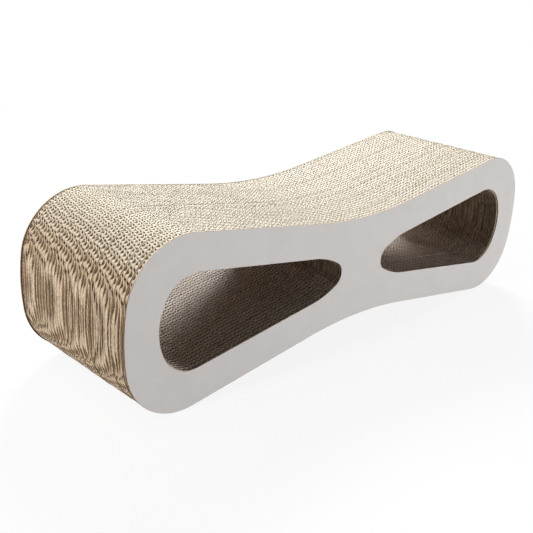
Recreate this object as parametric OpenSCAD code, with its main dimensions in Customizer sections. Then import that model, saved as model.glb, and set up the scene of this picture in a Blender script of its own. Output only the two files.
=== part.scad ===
// Cat scratcher lounge: a block of corrugated board sheets glued face to face on edge,
// closed by a smooth coated board on each long side.
// Every board has the same outline, a dog-bone with a waisted top and underside,
// and the same two teardrop windows, so the windows run through the whole block.
// X runs along the length, Y through the stack of boards, Z up.
// The origin is on the floor under the middle of the block.

/* [Outline] */
// Length from end to end
length = 864; // [800:1:930]
// Height over the crowns
height = 242; // [232:1:252]
// Height left at the waist in the middle
waist_height = 158; // [150:1:166]
// Radius of the hollow in the middle of the top and of the underside
waist_radius = 705; // [550:5:800]
// Radius of the four crowns
crown_radius = 91; // [82:1:100]
// Radius of the slightly bowed ends
end_radius = 310; // [250:5:450]

/* [Windows] */
// Width of the bridge between the two windows
bridge_width = 92; // [76:1:110]
// Width of the band between a window and the end
end_band = 51; // [42:1:60]
// Height of a window at its wide end
window_height = 134; // [122:1:140]
// Radius of a window's two outer corners
window_corner_radius = 52; // [46:1:56]
// Radius of a window's bowed outer wall
window_wall_radius = 83; // [76:1:95]
// Radius of a window's narrow nose
window_nose_radius = 20; // [17:0.5:24]
// Angle that the nose turns through on each side of its tip
window_nose_turn = 60; // [50:1:70]
// Radius of the shoulders between the nose and the straight sides
window_shoulder_radius = 140; // [100:5:180]

/* [Boards] */
// Number of corrugated sheets in the block
sheet_count = 35; // [20:1:50]
// Thickness of one corrugated sheet
sheet_thickness = 6.8; // [3:0.1:8]
// Thickness of a coated side panel
panel_thickness = 2; // [1:0.1:5]

/* [Curves] */
// Largest distance between a drawn curve and its true arc
curve_tolerance = 0.1; // [0.02:0.02:0.4]

/* [Hidden] */
stack_width = sheet_count * sheet_thickness;
block_width = stack_width + 2 * panel_thickness;
// Points closer together than this count as one
same_point = 0.001;
kraft_colour = "#c2a27a";
panel_colour = "#cfcbc8";

function sheet_name(i) = str("corrugated_sheet_", i < 10 ? "0" : "", i);

// The profile is drawn about the middle of the block, [along the length, up].
// Outline: the crowns touch the end arc from inside, and a straight slope is the
// crossing tangent between the waist's circle above it and the crown's circle below it.
waist_centre = [0, waist_height / 2 + waist_radius];
end_centre = [length / 2 - end_radius, 0];
crown_rise = height / 2 - crown_radius;
crown_run = sqrt(pow(end_radius - crown_radius, 2) - pow(crown_rise, 2));
crown_centre = end_centre + [crown_run, crown_rise];
end_angle = atan2(crown_rise, crown_run);
waist_to_crown = crown_centre - waist_centre;
slope = atan2(waist_to_crown[1], waist_to_crown[0])
    + asin((waist_radius + crown_radius) / norm(waist_to_crown));

// Window on the right: the corners touch the outer wall's arc from inside, each shoulder
// takes over from the nose where it has made its turn, and a straight side is the
// outer tangent of a shoulder and a corner.
wall_centre = [length / 2 - end_band - window_wall_radius, 0];
corner_rise = window_height / 2 - window_corner_radius;
corner_run = sqrt(pow(window_wall_radius - window_corner_radius, 2) - pow(corner_rise, 2));
corner_centre = wall_centre + [corner_run, corner_rise];
wall_angle = atan2(corner_rise, corner_run);
nose_angle = 180 - window_nose_turn;
nose_centre = [bridge_width / 2 + window_nose_radius, 0];
shoulder_centre = nose_centre + (window_nose_radius - window_shoulder_radius) * polar(nose_angle);
shoulder_to_corner = corner_centre - shoulder_centre;
side_slope = atan2(shoulder_to_corner[1], shoulder_to_corner[0])
    - asin((window_shoulder_radius - window_corner_radius) / norm(shoulder_to_corner));

// Points of an arc, as many as the curve tolerance needs.
function arc(centre, radius, from, to) =
    let (widest_step = 2 * acos(1 - curve_tolerance / radius))
    let (steps = ceil(abs(to - from) / widest_step))
    [for (i = [0 : steps]) centre + radius * polar(from + (to - from) * i / steps)];

function polar(angle) = [cos(angle), sin(angle)];

// The points after half a turn about the middle of the block.
function turned(points) = [for (p = points) -p];

// The points mirrored below the middle line, in the order that carries a path on.
function mirrored_below(points) =
    [for (i = [len(points) - 1 : -1 : 0]) [points[i][0], -points[i][1]]];

// Leaves out each point that repeats the one before it, where two arcs meet.
function without_repeats(points) =
    [for (i = [0 : len(points) - 1])
        if (norm(points[i] - points[(i + len(points) - 1) % len(points)]) > same_point) points[i]];

// The upper right of the outline, from the slope over the crown to the middle of the end.
crown_and_end = concat(
    arc(crown_centre, crown_radius, 90 + slope, 90),
    arc(crown_centre, crown_radius, 90, end_angle),
    arc(end_centre, end_radius, end_angle, 0)
);
// The right end and the underside's waist. Half a turn gives the left end and the top's waist.
half_outline = concat(
    crown_and_end,
    mirrored_below(crown_and_end),
    arc(-waist_centre, waist_radius, 90 - slope, 90 + slope)
);
outline = without_repeats(concat(half_outline, turned(half_outline)));

// The upper edge of the right window, from its nose to its outer wall.
window_edge = concat(
    arc(nose_centre, window_nose_radius, 180, nose_angle),
    arc(shoulder_centre, window_shoulder_radius, nose_angle, 90 + side_slope),
    arc(corner_centre, window_corner_radius, 90 + side_slope, 90),
    arc(corner_centre, window_corner_radius, 90, wall_angle),
    arc(wall_centre, window_wall_radius, wall_angle, 0)
);
window = without_repeats(concat(window_edge, mirrored_below(window_edge)));

// Consecutive point numbers for one closed path of a profile.
function path_of(points, first) = [for (i = [0 : len(points) - 1]) first + i];

module profile() {
    polygon(
        points = concat(outline, window, turned(window)),
        paths = [
            path_of(outline, 0),
            path_of(window, len(outline)),
            path_of(window, len(outline) + len(window))
        ]
    );
}

// A board standing on edge, whose front face lies at front_y.
module board(front_y, thickness) {
    translate([0, front_y + thickness, height / 2])
        rotate([90, 0, 0])
            linear_extrude(thickness)
                profile();
}

module front_panel() {
    color(panel_colour)
        board(-block_width / 2, panel_thickness);
}

module rear_panel() {
    color(panel_colour)
        board(stack_width / 2, panel_thickness);
}

module corrugated_sheet(i) {
    color(kraft_colour)
        board(-stack_width / 2 + (i - 1) * sheet_thickness, sheet_thickness);
}

front_panel();
rear_panel();
for (i = [1 : sheet_count]) {
    corrugated_sheet(i);
}
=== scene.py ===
"""Cat scratcher lounge: corrugated sheets glued on edge between two coated side panels."""
import math

import bpy
import numpy as np
from mathutils import Matrix, Vector


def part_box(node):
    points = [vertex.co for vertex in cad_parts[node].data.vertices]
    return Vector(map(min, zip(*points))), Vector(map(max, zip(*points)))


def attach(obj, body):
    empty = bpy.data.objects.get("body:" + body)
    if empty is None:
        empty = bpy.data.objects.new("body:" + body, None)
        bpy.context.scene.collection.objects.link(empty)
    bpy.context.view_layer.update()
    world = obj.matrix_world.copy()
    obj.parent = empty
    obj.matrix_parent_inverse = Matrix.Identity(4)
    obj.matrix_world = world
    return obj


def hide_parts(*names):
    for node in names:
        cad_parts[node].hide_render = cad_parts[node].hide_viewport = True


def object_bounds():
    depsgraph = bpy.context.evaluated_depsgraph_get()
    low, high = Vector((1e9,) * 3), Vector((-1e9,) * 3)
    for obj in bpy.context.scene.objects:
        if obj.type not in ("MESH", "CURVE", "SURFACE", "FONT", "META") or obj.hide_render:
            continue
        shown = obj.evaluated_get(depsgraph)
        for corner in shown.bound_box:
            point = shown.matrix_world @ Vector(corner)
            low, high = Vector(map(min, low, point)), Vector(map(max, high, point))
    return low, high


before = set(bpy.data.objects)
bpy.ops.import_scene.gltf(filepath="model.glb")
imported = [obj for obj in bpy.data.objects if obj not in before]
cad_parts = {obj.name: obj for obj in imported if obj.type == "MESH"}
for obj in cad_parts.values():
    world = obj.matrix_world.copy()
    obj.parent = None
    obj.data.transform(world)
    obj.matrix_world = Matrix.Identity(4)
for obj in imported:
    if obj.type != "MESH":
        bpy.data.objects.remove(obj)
cad_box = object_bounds()

MM = 0.001
SEED = 35

# Profile of every board, as the construction has it, about the middle of the block
waist_height = 158 * MM
waist_radius = 705 * MM
crown_radius = 91 * MM
end_radius = 310 * MM
bridge_width = 92 * MM
end_band = 51 * MM
window_height = 134 * MM
window_corner_radius = 52 * MM
window_wall_radius = 83 * MM
window_nose_radius = 20 * MM
window_nose_turn = 60           # degrees that the nose turns through on each side of its tip
window_shoulder_radius = 140 * MM
length, _, height = cad_box[1] - cad_box[0]
middle = height / 2

# Points of a board
station_spacing = 10 * MM
edge_rows = 4                   # rows of points at a station: outline and window, above and below the middle
end_trim = 0.4                  # degrees left off each end arc, so that it closes with a narrow flat
no_window = 20 * MM             # stands in for the window's reach where there is none, so no cut is near
edge_strip_share = 0.07         # height of a cut edge's strip in the flat layout, where a face's strip has 1
strip_fill = 0.9                # share of its place in the flat layout that a strip takes up

# Side panels
panel_edge_round = 0.30 * MM
round_middle = 0.3              # the rounding's middle point lies this share of its radius in from both sides
panel_crease = 15               # degrees, a sharper bend is drawn as an edge
same_plane = 0.01 * MM          # points closer to a plane than this lie in it

# Corrugated sheets, whose papers are thicker than real ones because a sawn edge frays and spreads
sheet_thickness = 6.8 * MM
sheet_crease = 50               # degrees, a sharper bend is drawn as an edge
liner_thickness = 0.74 * MM
fluting_thickness = 0.82 * MM
fluting_end_gap = 0.3 * MM      # least that the fluting stops short of the profile's ends
flute_length = 8.6 * MM
steps_per_flute = 16
flute_roundness = 0.42          # 1 is a sine wave, smaller gives steeper sides and flatter crests
flute_shift = 1.0 * MM          # how far the flutes lie to the right of those in the sheet in front
flute_misfit = 0.9              # radians that a whole sheet may be off that order
top_set_back = 0.5 * MM         # how far a sheet's cut may lie behind the profile, except at its ends
end_set_back = 1.5 * MM         # the same at its ends
outer_set_back = 1.2 * MM       # what the two sheets beside the panels lie further back at their ends

# Random lines along the length: how far they stray, and their shortest and longest wave
waves_in_a_line = 5
flute_drift = 0.35              # radians that the flutes are off their even spacing, over many flutes
drift_waves = (60 * MM, 200 * MM)
flute_jitter = 0.35             # radians that they are off besides, over a few flutes
jitter_waves = (12 * MM, 30 * MM)
glue_line_wander = 0.30 * MM
glue_waves = (50 * MM, 220 * MM)
cut_raggedness = 0.12 * MM
ragged_waves = (3 * MM, 14 * MM)

# Patterns in the papers, drawn coarser than real fibres, flecks and tears so that they show
fibre_size = (6 * MM, 1.2 * MM, 1.2 * MM)
fleck_size = 2.5 * MM
fuzz_size = 2.0 * MM
tear_size = (1.8 * MM, 1.8 * MM, 4 * MM)
level_lit_from = 0.42                # cosine of a cut's slope from which it is painted pale as light, most where it is level

# Patterns in the side panels, with the coating's grain drawn coarser than it is so that it shows
cloud_size = 28 * MM
grain_size = 1.6 * MM
pulp_layer_size = (8 * MM, 0.5 * MM, 8 * MM)

# Frayed and torn paper at the cuts, with painted light and shade: the pale fray also stands for light on the
# cells' rims
fray_and_light_share = 0.95               # how much of the paper's own colour the fray and its painted light hide at the cut
fray_and_light_depth = 7.0 * MM           # how deep the fray and its painted light reach under a sloping cut
level_fray_and_light_depth = 14 * MM      # how deep they reach under a level cut, deeper as painted light from above
level_from = 0.93               # cosine of a cut's slope from which the fray and its painted light reach deeper
window_fray_and_light_depth = 3.0 * MM    # how deep the fray and its painted light reach in the windows
window_fray_and_light_rim = 0.3 * MM      # depth in the windows before the fray and its painted light begin to fade
torn_share = 0.9                # how much of the paper's own colour the tear of a cut along the flutes hides, with its painted light
torn_depth = 20 * MM            # how deep the torn look reaches before it has faded
torn_wall_start = 45 * MM       # how far outside the centre of a window's wall arc its torn part begins

# Camera, fitted to the photograph's view
camera_turn = (-45.25, 21.38, 3.42)     # degrees of bearing, height and roll
camera_distance = 1.3062
aim_left = 0.0814               # metres left of the middle that it is aimed at
aim_low = 0.0206                # metres below the middle
focal_pixels = 843.2            # focal length in pixels of the picture
picture_pixels = 533            # width of the picture
sensor_width = 36

# Studio
even_light = 0.06               # strength of the world's light on the object
floor_half_width = 40.0
glow_range = (0.6, 1.8)         # metres from the middle over which the floor's glow takes over
glow_share = (0.89, 1.0)        # share of the glow at both ends of that range

sheet_names = sorted(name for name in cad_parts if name.startswith("corrugated_sheet"))


# Profile


def arc(centre, radius, start, stop, step):
    """Points of a circle's arc between two angles, at most step apart, both ends included.

    Angles are in degrees from the right, so 90 is up and 270 is down.
    """
    count = math.ceil(abs(stop - start) / step) + 1
    angle = np.radians(np.linspace(start, stop, count))
    return np.stack([centre[0] + radius * np.cos(angle), centre[1] + radius * np.sin(angle)], 1)


def outline_edge():
    """Upper right quarter of the outline, from the middle of the waist to the end.

    The waist's circle lies above it and the crown's below, joined by their crossing tangent, whose slope is
    the bearing of the two centres plus asin of the summed radii over their distance. The crown touches the
    bowed end's circle from inside.
    """
    waist = np.array([0, waist_height / 2 + waist_radius])
    end = np.array([length / 2 - end_radius, 0])
    rise = height / 2 - crown_radius
    crown = end + [math.sqrt((end_radius - crown_radius) ** 2 - rise ** 2), rise]
    between = crown - waist
    reach = (waist_radius + crown_radius) / math.hypot(*between)
    slope = math.degrees(math.atan2(between[1], between[0]) + math.asin(reach))
    end_angle = math.degrees(math.atan2(rise, crown[0] - end[0]))
    return np.concatenate([
        arc(waist, waist_radius, 270, 270 + slope, step=1),
        arc(crown, crown_radius, 90 + slope, end_angle, step=3),
        arc(end, end_radius, end_angle, end_trim, step=0.8)[1:],
    ])


def window_edge():
    """Upper edge of the right window, from its nose to the middle of its outer wall.

    Nose, shoulder, straight side, corner and bowed wall follow each other without a kink: the shoulder's
    centre lies on the nose's last radius, the side is the outer tangent of shoulder and corner, and the
    corner touches the wall's circle from inside.
    """
    wall = np.array([length / 2 - end_band - window_wall_radius, 0])
    rise = window_height / 2 - window_corner_radius
    corner = wall + [math.sqrt((window_wall_radius - window_corner_radius) ** 2 - rise ** 2), rise]
    wall_angle = math.degrees(math.atan2(rise, corner[0] - wall[0]))
    nose = np.array([bridge_width / 2 + window_nose_radius, 0])
    nose_angle = 180 - window_nose_turn
    last_radius = np.array([math.cos(math.radians(nose_angle)), math.sin(math.radians(nose_angle))])
    shoulder = nose + (window_nose_radius - window_shoulder_radius) * last_radius
    between = corner - shoulder
    reach = (window_shoulder_radius - window_corner_radius) / math.hypot(*between)
    slope = math.degrees(math.atan2(between[1], between[0]) - math.asin(reach))
    edge = np.concatenate([
        arc(nose, window_nose_radius, 180, nose_angle, step=8),
        arc(shoulder, window_shoulder_radius, nose_angle, 90 + slope, step=3)[1:],
        arc(corner, window_corner_radius, 90 + slope, wall_angle, step=4),
        arc(wall, window_wall_radius, wall_angle, 0, step=4)[1:],
    ])
    edge[[0, -1], 1] = 0
    return edge


outline = outline_edge()
window = window_edge()
end_centre = length / 2 - end_radius
wall_centre = length / 2 - end_band - window_wall_radius
nose_centre = bridge_width / 2 + window_nose_radius


def top_of(x):
    """Height of the outline above the middle line at each place x along the length."""
    return np.interp(abs(x), outline[:, 0], outline[:, 1])


def window_of(x):
    """Half the height of the window at each place x along the length, 0 where there is none."""
    return np.interp(abs(x), window[:, 0], window[:, 1], left=0, right=0)


def board_stations():
    """Places along the length where a flat board has points: all points of both edges, and even steps.

    They are rounded to a hundredth of a millimetre, so that places as good as equal become one.
    """
    even_steps = np.arange(0, outline[-1, 0], station_spacing)
    half = np.unique(np.concatenate([outline[:, 0], window[:, 0], even_steps]).round(5))
    return np.concatenate([-half[:0:-1], half])


# Boards as meshes


def board_grid(x, levels, top, low):
    """Closed board on edge as points and quads.

    At each station x it reaches from the top down to low, half a window, and the same below the middle line.
    levels are (y, inset) pairs from the front face to the rear face: between them runs the cut edge, drawn
    back from the profile by inset along the edge's normal. Where low is 0 the two halves share their points.
    Each strip of quads runs along two lines of points, the first on the right of the way it runs as seen from
    outside. Returns the points, the quads, whether each quad is a cut edge, and the quads' corners in a flat
    layout of strips one above the other.
    """
    count = len(x)
    points = np.zeros((count, edge_rows, len(levels), 3))
    edge_normals = []
    for edge, sign in ((top, 1), (low, -1)):
        normal = sign * np.stack([-np.gradient(edge), np.gradient(x)], 1)
        edge_normals.append(normal / np.linalg.norm(normal, axis=1, keepdims=True))
    inside = low > 0
    for level, (y, inset) in enumerate(levels):
        upper = np.stack([x, top], 1) - inset * edge_normals[0]
        lower = np.stack([x, low], 1) - inset * edge_normals[1] * inside[:, None]
        for row, (edge, up) in enumerate(((upper, 1), (lower, 1), (lower, -1), (upper, -1))):
            points[:, row, level, 0] = edge[:, 0]
            points[:, row, level, 1] = y
            points[:, row, level, 2] = middle + up * edge[:, 1]
    number = np.arange(count * edge_rows * len(levels)).reshape(count, edge_rows, len(levels))
    number[~inside, 2] = number[~inside, 1]

    # Strips as right line, left line, whether it is a cut edge, and which of its quads are there
    last = len(levels) - 1
    whole = slice(None)
    strips = [
        (number[:, 1, 0], number[:, 0, 0], False, whole),
        (number[:, 3, 0], number[:, 2, 0], False, whole),
        (number[:, 0, last], number[:, 1, last], False, whole),
        (number[:, 2, last], number[:, 3, last], False, whole),
    ]
    through = inside[:-1] | inside[1:]
    for level in range(last):
        near, far = number[:, :, level], number[:, :, level + 1]
        strips += [
            (near[:, 0], far[:, 0], True, whole),
            (far[:, 3], near[:, 3], True, whole),
            (far[:, 1], near[:, 1], True, through),
            (near[:, 2], far[:, 2], True, through),
        ]
    for station, right_row, left_row in ((0, 0, 1), (0, 2, 3), (-1, 1, 0), (-1, 3, 2)):
        strips.append((number[station, right_row], number[station, left_row], True, whole))

    weights = np.array([edge_strip_share if cut else 1.0 for _, _, cut, _ in strips])
    tops = np.cumsum(weights) / weights.sum()
    quads, cuts, layout = [], [], []
    for (right, left, cut, kept), v_top, weight in zip(strips, tops, weights / weights.sum()):
        along = np.linspace(0, 1, len(right))
        v_low = v_top - strip_fill * weight
        quad = np.stack([right[:-1], right[1:], left[1:], left[:-1]], 1)[kept]
        across_layout = np.stack([along[:-1], along[1:], along[1:], along[:-1]], 1)[kept]
        up_layout = np.broadcast_to([v_low, v_low, v_top, v_top], quad.shape)
        quads.append(quad)
        cuts.append(np.full(len(quad), cut))
        layout.append(np.stack([across_layout, up_layout], 2))
    return points.reshape(-1, 3), np.concatenate(quads), np.concatenate(cuts), np.concatenate(layout)


def mesh_piece(name, parts, materials, node, crease):
    """One object from several boards, each given as its grid, upper edge and half window.

    Each board has its own share of the flat layout. For the materials each point carries how high the board
    and the window reach at its station, and the cosine of the slope of the cut that it lies on.
    """
    points, quads, cuts, layout, reach = [], [], [], [], []
    first = 0
    for share, (grid, top, low) in enumerate(parts):
        at, quad, cut, place = grid
        points.append(at)
        quads.append(quad + first)
        cuts.append(cut)
        layout.append((place + [0, share]) / [1, len(parts)])
        levels = len(at) // len(top) // edge_rows
        window_reach = np.where(low > 0, low, -no_window)
        along = np.gradient(at[::edge_rows * levels, 0])
        top_facing = np.cos(np.arctan2(np.gradient(top), along))
        window_facing = np.cos(np.arctan2(np.gradient(low), along))
        rows = [np.stack([top, window_reach, facing], 1)
                for facing in (top_facing, window_facing, window_facing, top_facing)]
        reach.append(np.repeat(np.stack(rows, 1).reshape(-1, 3), levels, axis=0))
        first += len(at)
    points, quads, cuts, layout, reach = map(np.concatenate, (points, quads, cuts, layout, reach))

    used = np.unique(quads)
    renumber = np.zeros(len(points), int)
    renumber[used] = np.arange(len(used))
    mesh = bpy.data.meshes.new(name)
    mesh.vertices.add(len(used))
    mesh.vertices.foreach_set("co", points[used].ravel())
    mesh.loops.add(quads.size)
    mesh.loops.foreach_set("vertex_index", renumber[quads].ravel())
    mesh.polygons.add(len(quads))
    mesh.polygons.foreach_set("loop_start", np.arange(0, quads.size, 4))
    mesh.polygons.foreach_set("material_index", cuts.astype(int))
    mesh.polygons.foreach_set("use_smooth", ~cuts)
    mesh.uv_layers.new(name="OFBake").data.foreach_set("uv", layout.ravel())
    for column, attribute in enumerate(("top_reach", "window_reach", "cut_facing")):
        values = mesh.attributes.new(attribute, "FLOAT", "POINT")
        values.data.foreach_set("value", reach[used, column])
    mesh.update(calc_edges=True)
    mesh.validate()
    mesh.set_sharp_from_angle(angle=math.radians(crease))
    for material in materials:
        mesh.materials.append(material)
    piece = bpy.data.objects.new(name, mesh)
    bpy.context.collection.objects.link(piece)
    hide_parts(node)
    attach(piece, "root")


def ripple(rng, size, shortest, longest):
    """A smooth random line along the length: twice the mean of a few sine waves, times size.

    The waves' lengths lie between the two given, and their phases are random.
    """
    waves = 2 * math.pi / rng.uniform(shortest, longest, waves_in_a_line)
    phases = rng.uniform(0, 2 * math.pi, waves_in_a_line)
    return lambda x: size * np.sin(x[:, None] * waves + phases).mean(1) * 2


def side_panel(name, materials):
    """Coated board with slightly rounded cut edges. The face that is glued to the sheets has no coating."""
    (_, front, _), (_, rear, _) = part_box(name)
    bevel = round_middle * panel_edge_round
    rounding = [(0, panel_edge_round), (bevel, bevel), (panel_edge_round, 0)]
    levels = [(front + depth, inset) for depth, inset in rounding]
    levels += [(rear - depth, inset) for depth, inset in reversed(rounding)]
    x = board_stations()
    top, low = top_of(x), window_of(x)
    points, quads, cuts, layout = board_grid(x, levels, top, low)
    glued = rear if abs(rear) < abs(front) else front
    cuts |= (abs(points[quads, 1] - glued) < same_plane).all(1)
    parts = [((points, quads, cuts, layout), top, low)]
    mesh_piece(name.replace("panel", "coated_panel"), parts, materials, name, panel_crease)


def corrugated_sheet(name, number, front_glue, rear_glue, rng, extra_back, materials):
    """Two flat liners with a fluted paper between them: a wave along the length whose crests touch both.

    The wave is the sine of its phase over the hypotenuse of that sine and the cosine times the roundness. The
    fluting is widened across the sheet by the hypotenuse of 1 and its slope, so that it keeps its thickness.
    The glue lines in front and behind wander a little, the flutes lie a step further on in each sheet, and
    each sheet's cut lies a little behind the outline and is slightly ragged.
    """
    (_, front, _), (_, rear, _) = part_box(name)
    set_back = rng.uniform(0, top_set_back)
    left_back, right_back = rng.uniform(0, end_set_back, 2) + extra_back
    start = rng.uniform(-flute_misfit, flute_misfit) - 2 * math.pi * number * flute_shift / flute_length
    drift = ripple(rng, flute_drift, *drift_waves)
    jitter = ripple(rng, flute_jitter, *jitter_waves)
    flat_x = board_stations()
    fluting_end = length / 2 - fluting_end_gap
    fluted_x = np.arange(-fluting_end, fluting_end, flute_length / steps_per_flute)

    def edges(x):
        """Upper edge and half window of one paper, set back from the profile and ragged."""
        ragged = ripple(rng, cut_raggedness, *ragged_waves)(x)
        low = window_of(x)
        top = top_of(x) - set_back + ragged - cut_raggedness
        return top, np.where(low > 0, low + set_back + ragged, 0)

    def along(x):
        """Places along the length, drawn together so that both ends lie back as far as they should."""
        return x * (1 - (left_back + right_back) / length) + (left_back - right_back) / 2

    def layers(x):
        """The glue lines in front of the sheet and behind it."""
        return front + front_glue(x), rear + rear_glue(x)

    parts = []
    near, far = layers(flat_x)
    for y0, y1 in ((near, near + liner_thickness), (far - liner_thickness, far)):
        top, low = edges(flat_x)
        parts.append((board_grid(along(flat_x), [(y0, 0), (y1, 0)], top, low), top, low))
    near, far = layers(fluted_x)
    swing = (far - near) / 2 - liner_thickness - fluting_thickness / 2
    phase = 2 * math.pi * fluted_x / flute_length + start + drift(fluted_x) + jitter(fluted_x)
    crest = np.hypot(np.sin(phase), flute_roundness * np.cos(phase))
    wave = (near + far) / 2 + swing * np.sin(phase) / crest
    slant = np.hypot(1, np.gradient(wave) / np.gradient(fluted_x))
    half = fluting_thickness / 2 * slant
    top, low = edges(fluted_x)
    parts.append((board_grid(along(fluted_x), [(wave - half, 0), (wave + half, 0)], top, low), top, low))
    mesh_piece(name.replace("sheet", "board"), parts, materials, name, sheet_crease)


# Materials


def linear(hex_colour):
    """An sRGB hex colour as the linear RGBA that shaders take, by the sRGB curve."""
    s = np.array([int(hex_colour[i:i + 2], 16) / 255 for i in (1, 3, 5)])
    return (*np.where(s <= 0.04045, s / 12.92, ((s + 0.055) / 1.055) ** 2.4), 1.0)


def add(tree, kind, inputs, **settings):
    """A shader node with its settings; inputs maps its sockets to what goes into them.

    That is a value, a hex colour, another node's output, or another node for its first output in use.
    """
    made = tree.nodes.new("ShaderNode" + kind)
    for name, value in settings.items():
        setattr(made, name, value)
    for socket, value in inputs.items():
        if isinstance(value, bpy.types.Node):
            value = next(output for output in value.outputs if output.enabled)
        if isinstance(value, bpy.types.NodeSocket):
            tree.links.new(value, made.inputs[socket])
        else:
            made.inputs[socket].default_value = linear(value) if isinstance(value, str) else value
    return made


def heights(tree, place):
    """How far a point lies from the middle line, and how far board and window reach at its station."""
    z = add(tree, "SeparateXYZ", {"Vector": place}).outputs["Z"]
    up = add(tree, "Math", {0: z, 1: middle}, operation="SUBTRACT")
    up = add(tree, "Math", {0: up}, operation="ABSOLUTE")
    top = add(tree, "Attribute", {}, attribute_name="top_reach").outputs["Fac"]
    low = add(tree, "Attribute", {}, attribute_name="window_reach").outputs["Fac"]
    return up, top, low


def looking_up(tree):
    """1 where a face looks straight up, 0 where it is upright, -1 where it looks straight down."""
    normal = add(tree, "NewGeometry", {}).outputs["True Normal"]
    return add(tree, "SeparateXYZ", {"Vector": normal}).outputs["Z"]


def new_material(name):
    """An empty material, its node tree and the object's own coordinates."""
    material = bpy.data.materials.new(name)
    material.use_nodes = True
    tree = material.node_tree
    tree.nodes.clear()
    return material, tree, add(tree, "TexCoord", {}).outputs["Object"]


def finish_material(tree, colour, roughness, sheen, relief, strength, depth, refraction=1.45):
    """The surface itself: its colour, roughness and sheen, and a fine relief drawn from a pattern."""
    bump = add(tree, "Bump", {"Height": relief, "Strength": strength, "Distance": depth})
    surface = add(tree, "BsdfPrincipled", {
        "Base Color": colour,
        "Roughness": roughness,
        "IOR": refraction,
        "Specular IOR Level": sheen,
        "Normal": bump,
    })
    add(tree, "OutputMaterial", {"Surface": surface})


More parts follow.
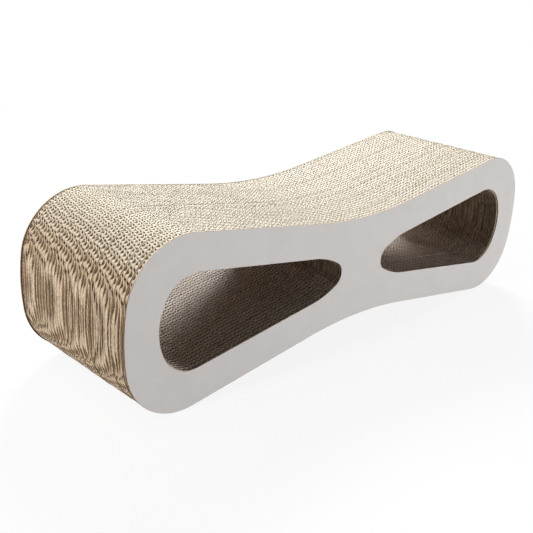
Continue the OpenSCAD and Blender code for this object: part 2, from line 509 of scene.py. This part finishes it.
def kraft_paper():
    """Unbleached kraft paper, rolled on the machine: brown and fibrous, with a faint sheen at low angles.

    Its shade changes once in each sheet's thickness, and long fibres lie across the flutes. Its faces are a
    darker brown than the paper, as painted shade deep in the cells. Near a cut it is frayed pale, which also
    stands for painted light on the cells' rims, and where a cut runs along the flutes it is torn open,
    lighter and mottled, partly as painted light on the opened flutes.
    """
    material, tree, place = new_material("kraft_paper")
    x, y, _ = add(tree, "SeparateXYZ", {"Vector": place}).outputs
    layer = add(tree, "Math", {0: y, 1: sheet_thickness}, operation="SNAP")
    shade = add(tree, "TexWhiteNoise", {"W": layer}, noise_dimensions="1D")
    fibre_place = add(tree, "Mapping", {"Vector": place, "Scale": [1 / size for size in fibre_size]})
    fibres = add(tree, "TexNoise", {"Vector": fibre_place, "Scale": 1.0, "Detail": 3, "Roughness": 0.6})
    flecks = add(tree, "TexNoise", {"Vector": place, "Scale": 1 / fleck_size, "Detail": 2, "Roughness": 0.7})
    fibre_tone, shade_tone, base_tone = 0.75, 0.35, -0.14
    tone = add(tree, "Math", {0: fibres, 1: fibre_tone, 2: base_tone}, operation="MULTIPLY_ADD")
    tone = add(tree, "Math", {0: shade, 1: shade_tone, 2: tone}, operation="MULTIPLY_ADD")
    # The faces are a darker brown than the paper itself, as painted shade deep in the cells; the fray and the
    # torn paper lighten them near the cuts
    brown = add(tree, "Mix", {"Factor": tone, "A": "#493622", "B": "#745a3b"}, data_type="RGBA")
    fleck = add(tree, "MapRange", {"Value": flecks, "From Min": 0.66, "From Max": 0.74})
    flecked = add(tree, "Mix", {"Factor": fleck, "A": brown, "B": "#3d2c1a"}, data_type="RGBA")

    # Distance from the nearer cut, and whether that is the window's
    up, top, low = heights(tree, place)
    below = add(tree, "Math", {0: top, 1: up}, operation="SUBTRACT")
    above = add(tree, "Math", {0: up, 1: low}, operation="SUBTRACT")
    near = add(tree, "Math", {0: below, 1: above}, operation="MINIMUM")
    inner = add(tree, "Math", {0: above, 1: below}, operation="LESS_THAN")

    # Frayed paper, also painted light on the cells' rims that gives way to the faces' painted shade deeper in
    facing = add(tree, "Attribute", {}, attribute_name="cut_facing").outputs["Fac"]
    # Painted light and shade: paler where the cut is level, darker where it is upright
    lit_where_level = add(tree, "MapRange", {"Value": facing, "From Min": level_lit_from}, interpolation_type="SMOOTHSTEP")
    depth = add(tree, "MapRange", {
        "Value": facing,
        "From Min": level_from,
        "To Min": fray_and_light_depth,
        "To Max": level_fray_and_light_depth,
    }, interpolation_type="SMOOTHSTEP")
    depth = add(tree, "Mix", {"Factor": inner, "A": depth, "B": window_fray_and_light_depth}, data_type="FLOAT")
    rim = add(tree, "Math", {0: inner, 1: window_fray_and_light_rim}, operation="MULTIPLY")
    frayed_and_lit = add(tree, "MapRange", {
        "Value": near,
        "From Min": rim,
        "From Max": depth,
        "To Min": fray_and_light_share,
        "To Max": 0.0,
    })

    # Torn paper at the ends and at both ends of the windows, mottled and drawn lighter, partly as painted
    # light on the opened flutes
    side = add(tree, "Math", {0: x}, operation="ABSOLUTE")

    def torn_along(centre, at_cut, faded, test, limit):
        """Share of torn paper at an arc's cut, fading to 0 at another radius, where the test of x is true."""
        across = add(tree, "Math", {0: side, 1: centre}, operation="SUBTRACT")
        away = add(tree, "CombineXYZ", {"X": across, "Y": up})
        away = add(tree, "VectorMath", {0: away}, operation="LENGTH")
        share = add(tree, "MapRange", {
            "Value": away,
            "From Min": at_cut,
            "From Max": faded,
            "To Min": torn_share,
            "To Max": 0.0,
        })
        here = add(tree, "Math", {0: side, 1: limit}, operation=test)
        return add(tree, "Math", {0: share, 1: here}, operation="MULTIPLY")

    wall_faded = window_wall_radius + torn_depth
    nose_faded = window_nose_radius + torn_depth
    wall_limit = wall_centre + torn_wall_start
    at_end = torn_along(end_centre, end_radius, end_radius - torn_depth, "GREATER_THAN", end_centre)
    at_wall = torn_along(wall_centre, window_wall_radius, wall_faded, "GREATER_THAN", wall_limit)
    at_nose = torn_along(nose_centre, window_nose_radius, nose_faded, "LESS_THAN", nose_centre)
    torn = add(tree, "Math", {0: at_end, 1: at_wall}, operation="MAXIMUM")
    torn = add(tree, "Math", {0: torn, 1: at_nose}, operation="MAXIMUM")
    fleck_part, shade_part = 0.7, 0.16
    tear_place = add(tree, "Mapping", {"Vector": place, "Scale": [1 / size for size in tear_size]})
    mottle = add(tree, "TexNoise", {"Vector": tear_place, "Scale": 1.0, "Detail": 2, "Roughness": 0.7})
    mottle = add(tree, "Math", {0: flecks, 1: fleck_part, 2: mottle}, operation="MULTIPLY_ADD")
    mottle = add(tree, "Math", {0: shade, 1: shade_part, 2: mottle}, operation="MULTIPLY_ADD")
    mottle = add(tree, "MapRange", {"Value": mottle, "From Min": 0.84, "From Max": 1.04})
    torn_and_lit_colour = add(tree, "Mix", {"Factor": mottle, "A": "#ab957c", "B": "#d3bfa5"}, data_type="RGBA")

    face = add(tree, "Mix", {"Factor": torn, "A": flecked, "B": torn_and_lit_colour}, data_type="RGBA")
    # Fray colours: pale on level cuts as painted light, darker on upright cuts and darkest on the windows'
    # walls as painted shade
    outer_fray_and_light = add(tree, "Mix", {"Factor": lit_where_level, "A": "#b59e80", "B": "#eee4cf"}, data_type="RGBA")
    window_fray_and_light = add(tree, "Mix", {"Factor": lit_where_level, "A": "#8c7156", "B": "#ead9c8"}, data_type="RGBA")
    fray_and_light = add(tree, "Mix", {"Factor": inner, "A": outer_fray_and_light, "B": window_fray_and_light}, data_type="RGBA")
    colour = add(tree, "Mix", {"Factor": frayed_and_lit, "A": face, "B": fray_and_light}, data_type="RGBA")
    finish_material(tree, colour, roughness=0.64, sheen=0.7, relief=fibres, strength=0.35, depth=0.08 * MM)
    return material


def cut_paper():
    """Kraft paper cut across: open fibre ends, slightly uneven, with a faint sheen at low angles.

    It is mottled, and drawn brown where it is upright and underneath as painted shade, and pale where it is
    level on top and in the windows as painted light, paler still in the windows.
    """
    material, tree, place = new_material("cut_paper_edge")
    fuzz = add(tree, "TexNoise", {"Vector": place, "Scale": 1 / fuzz_size, "Detail": 3, "Roughness": 0.65})
    fuzz_part = 0.8
    tear_place = add(tree, "Mapping", {"Vector": place, "Scale": [1 / size for size in tear_size]})
    mottle = add(tree, "TexNoise", {"Vector": tear_place, "Scale": 1.0, "Detail": 2, "Roughness": 0.7})
    mottle = add(tree, "Math", {0: fuzz, 1: fuzz_part, 2: mottle}, operation="MULTIPLY_ADD")
    mottle = add(tree, "MapRange", {"Value": mottle, "From Min": 0.80, "From Max": 1.00})
    # Brown as painted shade on upright cuts and underneath, pale as painted light on level ones, paler in the
    # windows
    brown = add(tree, "Mix", {"Factor": mottle, "A": "#79654f", "B": "#ad9980"}, data_type="RGBA")
    outer_pale = add(tree, "Mix", {"Factor": fuzz, "A": "#d3c8b3", "B": "#e0d6c3"}, data_type="RGBA")
    window_pale = add(tree, "Mix", {"Factor": mottle, "A": "#ead9c8", "B": "#fbebdb"}, data_type="RGBA")

    # A cut nearer to the window's edge than to the outline is the window's
    up, top, low = heights(tree, place)
    both = add(tree, "Math", {0: top, 1: low}, operation="ADD")
    half_way = add(tree, "Math", {0: both, 1: 0.5}, operation="MULTIPLY")
    inner = add(tree, "Math", {0: up, 1: half_way}, operation="LESS_THAN")
    pale = add(tree, "Mix", {"Factor": inner, "A": outer_pale, "B": window_pale}, data_type="RGBA")

    # Painted light: in the windows the level cuts are pale above and below, outside only above
    upward = looking_up(tree)
    level = add(tree, "Math", {0: upward}, operation="ABSOLUTE")
    level = add(tree, "Math", {0: level, 1: inner}, operation="MULTIPLY")
    level = add(tree, "Math", {0: level, 1: upward}, operation="MAXIMUM")
    lit_where_level = add(tree, "MapRange", {"Value": level, "From Min": level_lit_from}, interpolation_type="SMOOTHSTEP")
    colour = add(tree, "Mix", {"Factor": lit_where_level, "A": brown, "B": pale}, data_type="RGBA")
    finish_material(tree, colour, roughness=0.60, sheen=0.7, relief=fuzz, strength=0.5, depth=0.15 * MM)
    return material


def coated_board():
    """Clay-coated board, calendered: pale grey and smooth, with a satin sheen and faint clouds of pulp."""
    material, tree, place = new_material("clay_coated_board")
    cloud = add(tree, "TexNoise", {"Vector": place, "Scale": 1 / cloud_size, "Detail": 3, "Roughness": 0.55})
    grain = add(tree, "TexNoise", {"Vector": place, "Scale": 1 / grain_size, "Detail": 2, "Roughness": 0.5})
    grain_part = 0.25
    tone = add(tree, "Math", {0: grain, 1: grain_part, 2: cloud}, operation="MULTIPLY_ADD")
    tone = add(tree, "MapRange", {"Value": tone, "From Min": 0.35, "From Max": 0.9})
    colour = add(tree, "Mix", {"Factor": tone, "A": "#cfcbc9", "B": "#d4d0ce"}, data_type="RGBA")
    roughness = add(tree, "MapRange", {
        "Value": grain,
        "From Min": 0.3,
        "From Max": 0.7,
        "To Min": 0.42,
        "To Max": 0.52,
    })
    finish_material(
        tree, colour, roughness, sheen=0.2, relief=grain, strength=0.12, depth=0.03 * MM, refraction=1.5)
    return material


def board_core():
    """The coated board's cut edge and glued face: brown pulp pressed in thin layers, dull, pale on top as
    painted light.
    """
    material, tree, place = new_material("pulp_board_edge")
    layer_place = add(tree, "Mapping", {"Vector": place, "Scale": [1 / size for size in pulp_layer_size]})
    layers = add(tree, "TexNoise", {"Vector": layer_place, "Scale": 1.0, "Detail": 2, "Roughness": 0.5})
    # Painted light and shade: pale where the edge looks up, a darker brown on the sides and below
    lit_where_level = add(tree, "MapRange", {
        "Value": looking_up(tree),
        "From Min": 0.2,
        "From Max": 0.8,
    }, interpolation_type="SMOOTHSTEP")
    brown = add(tree, "Mix", {"Factor": layers, "A": "#553f2b", "B": "#74593f"}, data_type="RGBA")
    pale = add(tree, "Mix", {"Factor": layers, "A": "#c7b191", "B": "#e2d2b7"}, data_type="RGBA")
    colour = add(tree, "Mix", {"Factor": lit_where_level, "A": brown, "B": pale}, data_type="RGBA")
    finish_material(tree, colour, roughness=0.85, sheen=0.5, relief=layers, strength=0.3, depth=0.05 * MM)
    return material


# Camera, light and floor


def camera():
    """Camera turned to the photograph's view, aimed a little left of the middle and below it."""
    bearing, above, roll = map(math.radians, camera_turn)
    target = Vector((-aim_left, 0, middle - aim_low))
    right = Vector((math.cos(bearing), math.sin(bearing), 0))
    reach = math.cos(above)
    back = Vector((math.sin(bearing) * reach, -math.cos(bearing) * reach, math.sin(above)))
    up = back.cross(right)
    turned_right = right * math.cos(roll) + up * math.sin(roll)
    turned_up = up * math.cos(roll) - right * math.sin(roll)
    turn = Matrix((turned_right, turned_up, back)).transposed().to_4x4()
    data = bpy.data.cameras.new("camera")
    data.sensor_width = sensor_width
    data.lens = focal_pixels / picture_pixels * sensor_width
    data.clip_start, data.clip_end = 0.05, 50
    made = bpy.data.objects.new("camera", data)
    made.matrix_world = Matrix.Translation(target + back * camera_distance) @ turn
    bpy.context.collection.objects.link(made)
    bpy.context.scene.camera = made


def softbox(name, place, target, size, power):
    """Rectangular area lamp of a size in metres and a power in watts, that faces its target."""
    data = bpy.data.lights.new(name, "AREA")
    data.shape = "RECTANGLE"
    data.size, data.size_y = size
    data.energy = power
    lamp = bpy.data.objects.new(name, data)
    lamp.location = place
    lamp.rotation_euler = (Vector(target) - Vector(place)).to_track_quat("-Z", "Y").to_euler()
    bpy.context.collection.objects.link(lamp)


def sees_background(tree):
    """1 for rays from the camera, off gloss and through glass, which see a white background, 0 for others."""
    path = add(tree, "LightPath", {}).outputs
    seen = add(tree, "Math", {0: path["Is Camera Ray"], 1: path["Is Glossy Ray"]}, operation="MAXIMUM")
    return add(tree, "Math", {0: seen, 1: path["Is Transmission Ray"]}, operation="MAXIMUM")


def lights():
    """World that is white to the camera and gives the rest a little even light, and five softboxes."""
    world = bpy.data.worlds.new("studio")
    bpy.context.scene.world = world
    world.use_nodes = True
    tree = world.node_tree
    tree.nodes.clear()
    strength = add(tree, "MapRange", {"Value": sees_background(tree), "To Min": even_light})
    light = add(tree, "Background", {"Color": (1, 1, 1, 1), "Strength": strength})
    add(tree, "OutputWorld", {"Surface": light})
    # The main light is high behind on the right. Weaker ones are behind, above on the left, low in front
    # and at the left end.
    softbox("back_softbox", (5.78, 6.20, 5.45), (0, 0, 0.15), (3.4, 2.7), 1370)
    softbox("backdrop_softbox", (0.3, 2.4, 2.6), (0, 0, 0.1), (5.0, 1.6), 20)
    softbox("top_softbox", (-1.2, 0.45, 1.8), (-0.1, 0, 0.15), (0.5, 1.6), 9)
    softbox("front_softbox", (0.5, -2.6, 0.05), (0, 0, 0.10), (0.7, 0.08), 47)
    softbox("left_softbox", (-2.6, 0.03, 0.6), (-0.4, 0.02, 0.12), (0.3, 0.9), 57)


def floor_sweep():
    """White floor that keeps a faint shadow near the object and glows white further out, where it is seen."""
    material, tree, place = new_material("white_sweep")
    seen = sees_background(tree)
    white = add(tree, "Mix", {"Factor": seen, "A": "#8c8c8c", "B": "#f6f6f6"}, data_type="RGBA")
    paper = add(tree, "BsdfDiffuse", {"Color": white})
    glow = add(tree, "Emission", {"Color": (1, 1, 1, 1), "Strength": 1.0})
    away = add(tree, "VectorMath", {0: place}, operation="LENGTH")
    share = add(tree, "MapRange", {
        "Value": away,
        "From Min": glow_range[0],
        "From Max": glow_range[1],
        "To Min": glow_share[0],
        "To Max": glow_share[1],
    })
    share = add(tree, "Math", {0: seen, 1: share}, operation="MULTIPLY")
    both = add(tree, "MixShader", {0: share, 1: paper, 2: glow})
    add(tree, "OutputMaterial", {"Surface": both})
    half = floor_half_width
    corners = [(-half, -half, 0), (half, -half, 0), (half, half, 0), (-half, half, 0)]
    mesh = bpy.data.meshes.new("floor")
    mesh.from_pydata(corners, [], [(0, 1, 2, 3)])
    mesh.materials.append(material)
    floor = bpy.data.objects.new("floor", mesh)
    bpy.context.collection.objects.link(floor)


bpy.context.scene.view_settings.view_transform = "Standard"
camera()
lights()
floor_sweep()

papers = [kraft_paper(), cut_paper()]
boards = [coated_board(), board_core()]
for panel_name in ("front_panel", "rear_panel"):
    side_panel(panel_name, boards)

# The outermost glue lines are straight, because the panels are flat
rng = np.random.default_rng(SEED)
glue_lines = [ripple(rng, glue_line_wander, *glue_waves) for _ in range(len(sheet_names) + 1)]
glue_lines[0] = glue_lines[-1] = np.zeros_like
for number, sheet_name in enumerate(sheet_names):
    front_glue, rear_glue = glue_lines[number:number + 2]
    extra_back = outer_set_back if number in (0, len(sheet_names) - 1) else 0
    corrugated_sheet(sheet_name, number, front_glue, rear_glue, rng, extra_back, papers)
